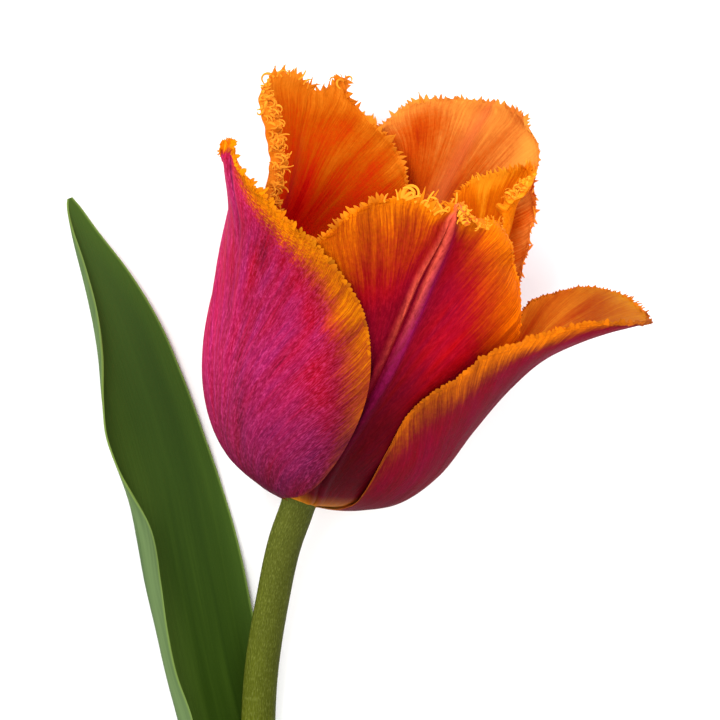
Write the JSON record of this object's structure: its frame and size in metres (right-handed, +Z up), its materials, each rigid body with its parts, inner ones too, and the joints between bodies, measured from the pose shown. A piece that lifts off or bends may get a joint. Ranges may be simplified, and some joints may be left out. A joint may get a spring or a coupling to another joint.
{
  "type": "fringed tulip, cut flower",
  "caption": "Cut fringed tulip lying down: a half-open cup of fringed tepals around stamens and a pistil, on a bent stem with a clasping leaf.",
  "frame": {"origin": "under the middle of the plant's bounding box, on the surface that it lies on", "axes": "+Y along the plant from the cut end of the stem to the flower, +Z up, +X to the right seen from above with the flower at the top"},
  "size_m": [0.1032, 0.2402, 0.0607],
  "materials": {
    "outer_tepal": "satin",
    "inner_tepal": "satin",
    "pistil": "satin",
    "filament": "satin",
    "anther": "matte",
    "stem": "satin",
    "leaf": "satin"
  },
  "bodies": {
    "root": {"outer_tepal_left": "outer_tepal", "outer_tepal_right": "outer_tepal", "outer_tepal_back": "outer_tepal", "inner_tepal_front": "inner_tepal", "inner_tepal_back_right": "inner_tepal", "inner_tepal_back_left": "inner_tepal", "pistil": "pistil", "filament_1": "filament", "filament_2": "filament", "filament_3": "filament", "filament_4": "filament", "filament_5": "filament", "filament_6": "filament", "anther_1": "anther", "anther_2": "anther", "anther_3": "anther", "anther_4": "anther", "anther_5": "anther", "anther_6": "anther", "stem": "stem", "leaf": "leaf"}
  },
  "joints": []
}
